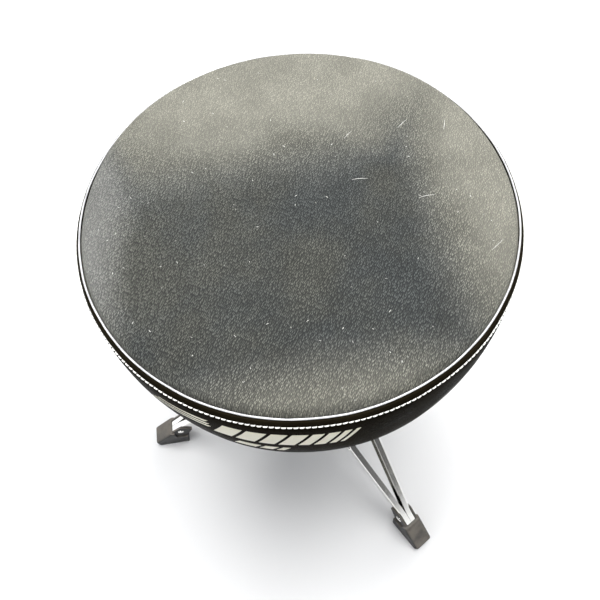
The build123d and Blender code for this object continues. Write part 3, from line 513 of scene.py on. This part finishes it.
# ---------------------------------------------------------------- seat
def wall_radius(height):
    """Outer radius of the vinyl wall at a height: a smooth curve through its stations."""
    rise = (height - SEAT_UNDERSIDE) / MM
    stations = WALL_STATIONS
    if rise <= stations[0][0]:
        return stations[0][1] * MM
    for k in range(len(stations) - 1):
        if rise <= stations[k + 1][0]:
            before, after = stations[max(k - 1, 0)], stations[min(k + 2, len(stations) - 1)]
            (x0, y0), (x1, y1) = stations[k], stations[k + 1]
            t = (rise - x0) / (x1 - x0)
            slope0 = (y1 - before[1]) / (x1 - before[0]) * (x1 - x0)
            slope1 = (after[1] - y0) / (after[0] - x0) * (x1 - x0)
            # Hermite curve between the two stations
            ends = (2 * t ** 3 - 3 * t ** 2 + 1) * y0 + (-2 * t ** 3 + 3 * t ** 2) * y1
            bends = (t ** 3 - 2 * t ** 2 + t) * slope0 + (t ** 3 - t ** 2) * slope1
            return (ends + bends) * MM
    return stations[-1][1] * MM


def cushion_height(share):
    """Height of the cloth at a share of its radius: a soft shoulder and a low crown."""
    share = min(share, 1.0)
    shoulder = 8.2 * MM * math.sqrt(max(0.0, 1.0 - share ** 56))
    crown = 4.4 * MM * (1.0 - share * share)
    return RIM_HEIGHT + shoulder + crown


def disc_grid(cells):
    """Corners of a square grid pressed into a unit disc, as (x, y), and its cell faces."""
    points = []
    for j in range(cells + 1):
        for i in range(cells + 1):
            u, v = 2 * i / cells - 1, 2 * j / cells - 1
            points.append((u * math.sqrt(1 - v * v / 2), v * math.sqrt(1 - u * u / 2)))
    row = cells + 1
    faces = [(j * row + i, j * row + i + 1, (j + 1) * row + i + 1, (j + 1) * row + i)
             for j in range(cells) for i in range(cells)]
    rim = [i for i in range(row)] + [j * row + cells for j in range(1, row)]
    rim += [cells * row + i for i in range(cells - 1, -1, -1)] + [j * row for j in range(cells - 1, 0, -1)]
    return points, faces, rim


def inflate(made, pinned, pressure, cap):
    """Puff a closed mesh by cloth simulation, its pinned corners held, and bake the result."""
    group = made.vertex_groups.new(name="held")
    group.add(pinned, 1.0, "REPLACE")
    cloth = add_modifier(made, "CLOTH")
    settings = cloth.settings
    settings.vertex_group_mass = "held"
    settings.quality = 6
    settings.mass = 0.15
    settings.tension_stiffness = 12
    settings.compression_stiffness = 12
    settings.shear_stiffness = 6
    settings.bending_stiffness = 0.4
    settings.use_pressure = True
    settings.uniform_pressure_force = pressure
    settings.effector_weights.gravity = 0
    last_frame = 20
    cloth.point_cache.frame_start, cloth.point_cache.frame_end = 1, last_frame
    before = [v.co.copy() for v in made.data.vertices]
    for step in range(1, last_frame + 1):
        bpy.context.scene.frame_set(step)
    apply_modifiers(made)
    for vertex, start in zip(made.data.vertices, before):
        moved = vertex.co - start
        if moved.length > cap:
            vertex.co = start + moved.normalized() * cap
    made.vertex_groups.clear()
    bpy.context.scene.frame_set(1)


def make_cloth_top():
    """Padded cloth panel: crowned, puffed by simulation, pulled down to the piping at its rim."""
    flat, faces, rim = disc_grid(84)
    pressure, cap = 4.0, 4.0 * MM
    count = len(flat)
    verts = []
    for layer in (0, 1):
        for x, y in flat:
            share = math.hypot(x, y)
            drop = layer * CLOTH_THICKNESS * (1.0 - 0.6 * share ** 20)
            verts.append((x * CLOTH_RADIUS, y * CLOTH_RADIUS, cushion_height(share) - drop))
    faces = faces + [tuple(count + k for k in reversed(face)) for face in faces]
    for k in range(len(rim)):
        a, b = rim[k], rim[(k + 1) % len(rim)]
        faces.append((b, a, a + count, b + count))
    made = piece("seat_top_cloth", verts, faces, "seat", "seat_cloth")
    held = [v.index for v in made.data.vertices
            if math.hypot(v.co.x, v.co.y) > 0.975 * CLOTH_RADIUS or is_under(v.co)]
    inflate(made, held, pressure, cap)
    for vertex in made.data.vertices:
        x, y, z = vertex.co
        share = math.hypot(x, y) / CLOTH_RADIUS
        broad_dent = noise.noise(Vector((x * 14, y * 14, 3.1))) * 0.9
        small_dent = noise.noise(Vector((x * 42, y * 42, 7.7))) * 0.25
        vertex.co.z = z + (broad_dent + small_dent) * MM * (1 - share ** 6)
    add_modifier(made, "SUBSURF", levels=1, render_levels=1)
    apply_modifiers(made)
    for polygon in made.data.polygons:
        polygon.use_smooth = True
    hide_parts("seat_top_fabric")
    return made


def is_under(point):
    """True on the lower layer of the cloth panel."""
    share = math.hypot(point.x, point.y) / CLOTH_RADIUS
    return point.z < cushion_height(share) - 0.4 * CLOTH_THICKNESS


def make_foam():
    """Foam block under the cloth and behind the vinyl."""
    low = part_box("seat_foam")[0]
    foot = 168.5 * MM
    under_cloth = CLOTH_THICKNESS + 0.6 * MM
    behind_vinyl = 2.6 * MM
    side_top = SEAT_UNDERSIDE + 91 * MM
    side_steps, top_steps = 12, 14
    outline = [(0.0, low[2]), (120 * MM, low[2]), (164 * MM, low[2]), (foot, low[2] + 1.5 * MM)]
    for k in range(1, side_steps + 1):
        height = low[2] + (side_top - low[2]) * k / side_steps
        lean = min(1.0, k / 3)
        outline.append((foot + (wall_radius(height) - behind_vinyl - foot) * lean, height))
    for k in range(top_steps, -1, -1):
        share = math.sin(k / top_steps * math.pi / 2) * 0.975
        height = cushion_height(share) - under_cloth - 2.0 * MM * share ** 10
        outline.append((share * CLOTH_RADIUS, height))
    verts, faces = lathe(outline, 96)
    made = piece("seat_foam_block", verts, faces, "seat", "foam")
    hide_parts("seat_foam")


def make_vinyl_wall():
    """Side cover: a smooth bulged wall that is gathered under the board in small pleats."""
    top, under = SEAT_UNDERSIDE + 92.0 * MM, SEAT_UNDERSIDE
    turn_height = under + 12 * MM
    turned_under = under + 4 * MM
    flat_radius = 166.5 * MM
    pleat_count, pleat_depth = 64, 0.9 * MM
    wall_steps, turn_steps = 24, 8
    heights = [top + (turn_height - top) * k / wall_steps for k in range(wall_steps + 1)]
    outer = [(wall_radius(height), height) for height in heights]
    turn_radius = outer[-1][0]
    for k in range(1, turn_steps + 1):
        angle = math.pi / 2 * k / turn_steps
        outer.append((flat_radius + (turn_radius - flat_radius) * math.cos(angle),
                      turn_height + (under - turn_height) * math.sin(angle)))
    outer += [(158 * MM, under), (150 * MM, under), (143 * MM, under), (137.6 * MM, under + 0.3 * MM)]
    inner = []
    for radius, height in reversed(outer):
        inset = VINYL_THICKNESS if height > turned_under else 0.4 * VINYL_THICKNESS
        rise = VINYL_THICKNESS if height < turned_under else 0.0
        inner.append((radius - inset, height + rise))

    def pleats(radius, height, angle):
        tucked = max(0.0, min(1.0, (under + 9 * MM - height) / (9 * MM)))
        fold = 0.5 + 0.5 * math.sin(pleat_count * angle + 2.2 * ripple(angle, 5, 0))
        pulled_in = 0.5 * MM * smooth_rise(height, STITCH_HEIGHT - 4 * MM, STITCH_HEIGHT)
        radius += wall_sway(angle, height) - pulled_in
        inward = max(0.0, (flat_radius - radius) / (30 * MM))
        height += tucked * fold ** 3 * pleat_depth * min(1.0, 0.35 + inward)
        return radius, height

    verts, faces = lathe(outer + inner, 384, shape=pleats)
    made = piece("seat_wall_vinyl", verts, faces, "seat", "vinyl")
    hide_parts("seat_side_cover")


def make_vinyl_band():
    """Upper strip of vinyl, lapped over the wall and top-stitched along its lower edge."""
    top = SEAT_UNDERSIDE + 98.3 * MM
    low = STITCH_HEIGHT - 2.4 * MM
    proud = 0.55 * MM
    steps = 9
    top_radius, low_radius = wall_radius(top), wall_radius(low)
    profile = [(top_radius - VINYL_THICKNESS, top - 0.4 * MM), (top_radius - 0.2 * MM, top + 0.25 * MM)]
    for k in range(steps + 1):
        height = top + (low - top) * k / steps
        profile.append((wall_radius(height) + proud, height))
    profile += [(low_radius + 0.35 * MM, low - 0.4 * MM), (low_radius - 0.6 * MM, low - 0.3 * MM)]
    count = stitch_count()

    def puckers(radius, height, angle):
        pull = math.exp(-((height - STITCH_HEIGHT) / (1.5 * MM)) ** 2)
        beat = 0.5 + 0.5 * math.cos(count * angle)
        return radius + wall_sway(angle, height) - pull * (0.25 + 0.25 * beat) * MM, height

    verts, faces = lathe(profile, 4 * count, shape=puckers)
    made = piece("seat_band_vinyl", verts, faces, "seat", "vinyl")
    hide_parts("seat_side_cover")


def smooth_rise(value, low, high):
    """0 below low, 1 above high, smooth between."""
    t = max(0.0, min(1.0, (value - low) / (high - low)))
    return t * t * (3 - 2 * t)


def wall_sway(angle, height):
    """Slow unevenness of the stuffed wall."""
    return 0.45 * MM * ripple(angle, 3.2, height * 22)


def stitch_count():
    """Stitches in one round of the wall."""
    return round(TAU * wall_radius(STITCH_HEIGHT) / STITCH_PITCH)


def make_stitches():
    """Round of top-stitching: one slightly slanted thread dash after another."""
    rng = random.Random(11)
    count = stitch_count()
    verts, faces = [], []
    sides, rings = 8, 7
    for k in range(count):
        angle = TAU * (k + 0.5) / count
        half = (0.455 + rng.uniform(-0.015, 0.015)) * STITCH_PITCH
        slant = math.radians(5 + rng.uniform(-2, 2))
        lift = rng.uniform(-0.1, 0.1) * MM
        start = len(verts)
        for ring in range(rings):
            t = 2 * ring / (rings - 1) - 1
            thick = 0.52 * MM * math.sqrt(max(0.05, 1 - abs(t) ** 8))
            along = t * half
            around = angle + along * math.cos(slant) / wall_radius(STITCH_HEIGHT)
            height = STITCH_HEIGHT + lift + along * math.sin(slant)
            base = wall_radius(height) + 0.72 * MM + wall_sway(around, height) - 0.45 * MM * abs(t) ** 6
            for side in range(sides):
                spin = TAU * side / sides
                radius = base + thick * math.cos(spin)
                verts.append(on_ring(radius, around, height + thick * math.sin(spin)))
        for ring in range(rings - 1):
            for side in range(sides):
                a, b = start + ring * sides + side, start + ring * sides + (side + 1) % sides
                faces.append((a, b, b + sides, a + sides))
        faces.append(tuple(start + side for side in reversed(range(sides))))
        faces.append(tuple(start + (rings - 1) * sides + side for side in range(sides)))
    piece("seat_top_stitching", verts, faces, "seat", "thread")


def make_piping():
    """Welt cord, slightly uneven along its run."""
    sides = 16
    profile = []
    for k in range(sides):
        across, along_axis, _ = on_ring(CORD_RADIUS, TAU * k / sides, 0.0)
        profile.append((CORD_RING + across, CORD_HEIGHT + along_axis))

    def uneven(radius, height, angle):
        return radius + 0.22 * MM * ripple(angle, 9, 1.5), height + 0.18 * MM * ripple(angle, 11, 6.5)

    verts, faces = lathe(profile, 512, shape=uneven)
    made = piece("seat_piping_cord", verts, faces, "seat", "piping")
    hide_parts("seat_piping")


def wall_patch(corners, verts, faces):
    """Add a thin printed patch on the wall, between four (azimuth, height) corners."""
    across, down = 14, 6
    ink_face, ink_back = 0.16 * MM, -0.25 * MM
    start = len(verts)
    for proud in (ink_face, ink_back):
        for j in range(down + 1):
            for i in range(across + 1):
                u, v = i / across, j / down
                upper = Vector(corners[0]).lerp(Vector(corners[1]), u)
                lower = Vector(corners[3]).lerp(Vector(corners[2]), u)
                azimuth, height = upper.lerp(lower, v)
                angle = math.radians(azimuth)
                radius = wall_radius(height) + wall_sway(angle, height) + proud
                verts.append(on_ring(radius, angle, height))
    row, layer = across + 1, (across + 1) * (down + 1)
    for j in range(down):
        for i in range(across):
            a = start + j * row + i
            faces.append((a, a + row, a + row + 1, a + 1))
            faces.append((a + layer, a + layer + 1, a + layer + row + 1, a + layer + row))
    edge = [j * row for j in range(down)] + [down * row + i for i in range(across)]
    edge += [(down - j) * row + across for j in range(down)] + [across - i for i in range(across)]
    for k in range(len(edge)):
        a, b = start + edge[k], start + edge[(k + 1) % len(edge)]
        faces.append((a, b, b + layer, a + layer))


def make_wall_print():
    """Plain slanted bars screen-printed on the front of the wall; azimuths are in degrees."""
    verts, faces = [], []
    # Each row: lowest and highest edge above the underside, left end, lean, gap, widths
    rows = ((53 * MM, 79 * MM, -119.0, 3.6, 1.0, (4.6, 4.6, 3.7, 3.7, 2.6, 2.6, 1.6, 1.0)),
            (28 * MM, 42 * MM, -115.0, 2.0, 1.1, (5.4, 3.2, 1.8)))
    for low_edge, high_edge, left, lean, gap, widths in rows:
        low, high = SEAT_UNDERSIDE + low_edge, SEAT_UNDERSIDE + high_edge
        for width in widths:
            right = left + width
            wall_patch(((left + lean, high), (right + lean, high), (right, low), (left, low)), verts, faces)
            left = right + gap
    # Three thin tapered stripes before the bars
    stripe_left, stripe_right = -137.0, -120.0
    for rise in (4.0, 11.0, 18.0):
        height = SEAT_UNDERSIDE + (57 + rise) * MM
        tip = stripe_left + rise * 0.25
        wall_patch(((tip, height + 1.0 * MM), (stripe_right + 1, height + 3.6 * MM),
                    (stripe_right, height - 0.6 * MM), (tip, height)), verts, faces)
    piece("seat_wall_print", verts, faces, "seat", "print")


def make_dust_cover():
    """Thin cloth stapled under the seat, a little slack between its staples."""
    low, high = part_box("seat_dust_cover")
    outer = high[0]
    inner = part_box("seat_plate")[1][0] + 3.0 * MM
    rings, turns = 18, 192
    thickness, sag = 0.5 * MM, 1.6 * MM
    verts, faces = [], []
    for layer in (0, 1):
        for ring in range(rings + 1):
            radius = inner + (outer - inner) * ring / rings
            for turn in range(turns):
                angle = TAU * turn / turns
                free = math.sin(math.pi * ring / rings)
                slack = 0.5 + 0.5 * ripple(angle, 32 * radius, 2)
                scallop = 0.25 * MM * (1 - math.cos(STAPLE_COUNT * angle)) * (ring / rings) ** 8
                drop = free * slack * sag * (1 - ring / rings * 0.2)
                height = low[2] + 0.1 * MM + layer * thickness - drop
                verts.append(on_ring(radius - scallop, angle, height))
    layer_size = (rings + 1) * turns
    for ring in range(rings):
        for turn in range(turns):
            a, b = ring * turns + turn, ring * turns + (turn + 1) % turns
            faces.append((a, b, b + turns, a + turns))
            faces.append((a + layer_size, a + turns + layer_size, b + turns + layer_size, b + layer_size))
    for ring in (0, rings):
        for turn in range(turns):
            a, b = ring * turns + turn, ring * turns + (turn + 1) % turns
            faces.append((a, b, b + layer_size, a + layer_size))
    made = piece("seat_underside_cloth", verts, faces, "seat", "dust_cloth")
    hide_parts("seat_dust_cover")


def make_staples():
    """Wire staples round the dust cloth, their legs driven into the board."""
    low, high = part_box("dust_cover_staples")
    ring = (high[0] - low[0]) / 2 - 0.7 * MM
    wire, sides = 0.5 * MM, 8
    reach, bent_reach = 4.9 * MM, 4.3 * MM
    # Along and up for one staple: a leg, a rounded corner, the crown and back up
    leg_top, leg_foot, crown = high[2] + 3 * MM, low[2] + 1.1 * MM, low[2] + wire
    outline = ((-reach, leg_top), (-reach, leg_foot), (-bent_reach, crown),
               (bent_reach, crown), (reach, leg_foot), (reach, leg_top))
    verts, faces = [], []
    rng = random.Random(5)
    for k in range(STAPLE_COUNT):
        angle = TAU * k / STAPLE_COUNT
        skew = rng.uniform(-0.12, 0.12)
        along = Vector((-math.sin(angle + skew), math.cos(angle + skew), 0))
        middle = Vector(on_ring(ring, angle, 0))
        points = [middle + along * across + Vector((0, 0, height)) for across, height in outline]
        tube(smooth_line(points, 3), [wire] * (3 * (len(points) - 1) + 1), sides, verts, faces)
    made = piece("dust_cover_wire_staples", verts, faces, "seat", "zinc")
    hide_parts("dust_cover_staples")


def tube(path, radii, sides, verts, faces):
    """Add a closed round tube along a path, with one radius for each of its points."""
    start = len(verts)
    side_way = None
    for k, point in enumerate(path):
        ahead = (path[min(k + 1, len(path) - 1)] - path[max(k - 1, 0)]).normalized()
        if side_way is None:
            side_way = ahead.orthogonal().normalized()
        side_way = (side_way - ahead * side_way.dot(ahead)).normalized()
        other = ahead.cross(side_way)
        for side in range(sides):
            spin = TAU * side / sides
            verts.append(point + (side_way * math.cos(spin) + other * math.sin(spin)) * radii[k])
    for k in range(len(path) - 1):
        for side in range(sides):
            a, b = start + k * sides + side, start + k * sides + (side + 1) % sides
            faces.append((a, b, b + sides, a + sides))
    faces.append(tuple(start + side for side in reversed(range(sides))))
    faces.append(tuple(start + (len(path) - 1) * sides + side for side in range(sides)))


def make_lint():
    """Stray hairs and lint on the cloth: short thin curls, most of them tiny."""
    bits, long_bits, points, sides = 70, 6, 7, 5
    rng = random.Random(23)
    verts, faces = [], []
    for k in range(bits):
        long_hair = k < long_bits
        angle, radius = rng.uniform(0, TAU), 0.158 * math.sqrt(rng.random())
        length = rng.uniform(7, 15) * MM if long_hair else rng.uniform(0.9, 2.4) * MM
        width = rng.uniform(0.14, 0.21) * MM if long_hair else rng.uniform(0.12, 0.27) * MM
        heading = rng.uniform(0, TAU) if not long_hair else rng.gauss(math.radians(70), 0.7)
        bend = rng.uniform(-1.2, 1.2)
        x, y, _ = on_ring(radius, angle, 0)
        path, radii = [], []
        for step in range(points):
            path.append(Vector((x, y, cloth_surface(x, y) + width * 0.9)))
            radii.append(width * (0.4 + 0.6 * math.sin(math.pi * (step + 0.5) / points)))
            turn = heading + bend * step / (points - 1)
            x += math.cos(turn) * length / (points - 1)
            y += math.sin(turn) * length / (points - 1)
        tube(path, radii, sides, verts, faces)
    piece("seat_lint", verts, faces, "seat", "lint")


def cloth_surface(x, y):
    """Height of the finished cloth over a point of the seat."""
    hit, place, _, _ = CLOTH.ray_cast(Vector((x, y, 1.0)), Vector((0, 0, -1)))
    return place.z if hit else cushion_height(math.hypot(x, y) / CLOTH_RADIUS)


# ---------------------------------------------------------------- spindle
def make_spindle():
    """Threaded rod: a true helical thread, a shoulder and a plain post."""
    low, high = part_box("threaded_spindle")
    pitch = 5.0 * MM
    crest, root, core = 12.5 * MM, 10.8 * MM, 10.7 * MM
    stub, shoulder, post = 8 * MM, 17 * MM, 11 * MM
    thread_low = low[2] + 18.0 * MM
    shoulder_low = low[2] + 253.5 * MM
    shoulder_high = shoulder_low + 4.2 * MM
    turns = int((shoulder_low - thread_low) / pitch)
    thread_high = thread_low + turns * pitch
    around = 56
    rounded = crest + 0.02 * MM
    stations = [(0.0, root), (1.1 * MM, root), (1.9 * MM, crest), (2.15 * MM, rounded),
                (2.85 * MM, rounded), (3.1 * MM, crest), (3.9 * MM, root)]
    verts, faces, rows = [], [], []
    for turn in range(-1, turns + 1):
        for offset, radius in stations:
            rows.append((turn * pitch + offset, radius))
    for rise, radius in rows:
        for step in range(around):
            angle = TAU * step / around
            height = thread_low + rise + pitch * step / around
            end = min(height - thread_low, thread_high - height) / pitch
            fade = max(0.0, min(1.0, end * 2.0))
            height = max(thread_low, min(thread_high, height))
            verts.append(on_ring(root + (radius - root) * fade, angle, height))
    per_turn = len(stations)
    for k in range(len(rows) - 1):
        for step in range(around - 1):
            a = k * around + step
            faces.append((a, a + 1, a + around + 1, a + around))
        if k + per_turn + 1 < len(rows):
            a, b = k * around + around - 1, (k + per_turn) * around
            faces.append((a, b, b + around, a + around))
    thread = piece("spindle_thread", verts, faces, "spindle", "zinc")
    body = [(0, low[2]), (stub - 1.2 * MM, low[2]), (stub, low[2] + 1.2 * MM), (stub, thread_low),
            (10.0 * MM, thread_low), (core, thread_low + 0.4 * MM), (core, shoulder_low - 0.2 * MM),
            (shoulder - 0.8 * MM, shoulder_low), (shoulder, shoulder_low + 0.8 * MM),
            (shoulder, shoulder_high - 0.8 * MM), (shoulder - 0.8 * MM, shoulder_high),
            (post, shoulder_high), (post, high[2] - 1.8 * MM), (post - 1.4 * MM, high[2]), (0, high[2])]
    verts, faces = lathe(body, 64)
    rod = piece("spindle_rod", verts, faces, "spindle", "zinc")
    harden(rod, 35)
    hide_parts("threaded_spindle")
    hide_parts("threaded_spindle")


def harden(made, degrees):
    """Shade sharp corners as corners."""
    work = bmesh.new()
    work.from_mesh(made.data)
    limit = math.radians(degrees)
    for edge in work.edges:
        edge.smooth = len(edge.link_faces) == 2 and edge.calc_face_angle(0.0) < limit
    work.to_mesh(made.data)
    work.free()


# ---------------------------------------------------------------- CAD nodes that stay
def finish_cad_nodes():
    """Give every carried-over node its material and soft machined edges."""
    slots = {s["node"]: s["material_slot"] for s in frame["record"]["subparts"]}
    for name, node in frame["nodes"].items():
        if node.hide_render:
            continue
        node.data.materials.clear()
        node.data.materials.append(MATERIALS[slots[name]])
        soft = 1.5 * MM if name.endswith("_foot") else 0.35 * MM
        add_modifier(node, "BEVEL", width=soft, segments=3, limit_method="ANGLE",
                     angle_limit=math.radians(32), harden_normals=True)


# ---------------------------------------------------------------- stage
def make_floor():
    """Plain pale floor under the throne."""
    half = 6.0
    verts = [(-half, -half, 0), (half, -half, 0), (half, half, 0), (-half, half, 0)]
    mesh = bpy.data.meshes.new("floor")
    mesh.from_pydata(verts, [], [(0, 1, 2, 3)])
    made = bpy.data.objects.new("floor", mesh)
    bpy.context.scene.collection.objects.link(made)
    s = Shader("floor", Roughness=0.75)
    s.colour(s.mix(s.noise(3.0), (0.84, 0.84, 0.84), (0.86, 0.86, 0.86)))
    mesh.materials.append(s.material)


def add_area_light(name, location, target, size, watts, colour=(1, 1, 1)):
    """A rectangular lamp of a width and height in metres, aimed at a target."""
    data = bpy.data.lights.new(name, "AREA")
    data.shape = "RECTANGLE"
    data.size, data.size_y = size
    data.energy = watts
    data.color = colour
    lamp = bpy.data.objects.new(name, data)
    lamp.location = location
    lamp.rotation_euler = (Vector(target) - Vector(location)).to_track_quat("-Z", "Y").to_euler()
    bpy.context.scene.collection.objects.link(lamp)


def make_lights():
    """A large lamp overhead, a window at the back right, a weak fill and a banded studio around."""
    add_area_light("overhead", (0.07, 0.19, 2.3), (0, 0, 0.3), (1.4, 1.1), 76)
    add_area_light("window", (1.7, 2.2, 1.7), (0, 0, 0.5), (1.4, 1.4), 15, (1.0, 0.985, 0.95))
    add_area_light("fill", (-2.4, -1.2, 2.2), (0, 0, 0.2), (1.8, 1.4), 9, (0.93, 0.96, 1.0))
    world = bpy.data.worlds.new("studio")
    world.use_nodes = True
    tree = world.node_tree
    background = tree.nodes["Background"]
    background.inputs["Strength"].default_value = 0.44
    ramp = tree.nodes.new("ShaderNodeValToRGB")
    split = tree.nodes.new("ShaderNodeSeparateXYZ")
    tree.links.new(tree.nodes.new("ShaderNodeTexCoord").outputs["Generated"], split.inputs["Vector"])
    tree.links.new(split.outputs["Z"], ramp.inputs["Fac"])
    tree.links.new(ramp.outputs["Color"], background.inputs["Color"])
    stops = ((0.0, (0.46, 0.46, 0.46)), (0.10, (0.20, 0.20, 0.21)), (0.20, (0.95, 0.93, 0.84)),
             (0.29, (0.90, 0.89, 0.82)), (0.37, (0.22, 0.23, 0.26)), (0.48, (0.62, 0.67, 0.78)),
             (0.62, (0.85, 0.87, 0.92)), (1.0, (1, 1, 1)))
    while len(ramp.color_ramp.elements) < len(stops):
        ramp.color_ramp.elements.new(0.5)
    for element, (position, colour) in zip(ramp.color_ramp.elements, stops):
        element.position = position
        element.color = (*colour, 1.0)
    bpy.context.scene.world = world
    bpy.context.scene.view_settings.view_transform = "Standard"


def make_camera():
    """Camera above and in front of the seat, rolled a little, as the picture was taken."""
    elevation, roll, turn = math.radians(62.57), math.radians(-5.615), math.radians(-3.3)
    target = Vector((-0.0046, -0.0847, 0.567))
    distance = 0.4397
    back = Vector((0, -math.cos(elevation), math.sin(elevation)))
    right = Vector((1, 0, 0))
    up = back.cross(right)
    across = right * math.cos(roll) + up * math.sin(roll)
    upright = up * math.cos(roll) - right * math.sin(roll)
    place = target + back * distance
    basis = Matrix((across, upright, back)).transposed().to_4x4()
    data = bpy.data.cameras.new("camera")
    data.sensor_width = 36.0
    data.lens = 36.0
    data.clip_start = 0.02
    made = bpy.data.objects.new("camera", data)
    made.matrix_world = Matrix.Rotation(turn, 4, "Z") @ Matrix.Translation(place) @ basis
    bpy.context.scene.collection.objects.link(made)
    bpy.context.scene.camera = made


make_camera()
make_floor()
make_lights()
CLOTH = make_cloth_top()
make_foam()
make_vinyl_wall()
make_vinyl_band()
make_stitches()
make_piping()
make_wall_print()
make_dust_cover()
make_staples()
make_lint()
make_spindle()
finish_cad_nodes()
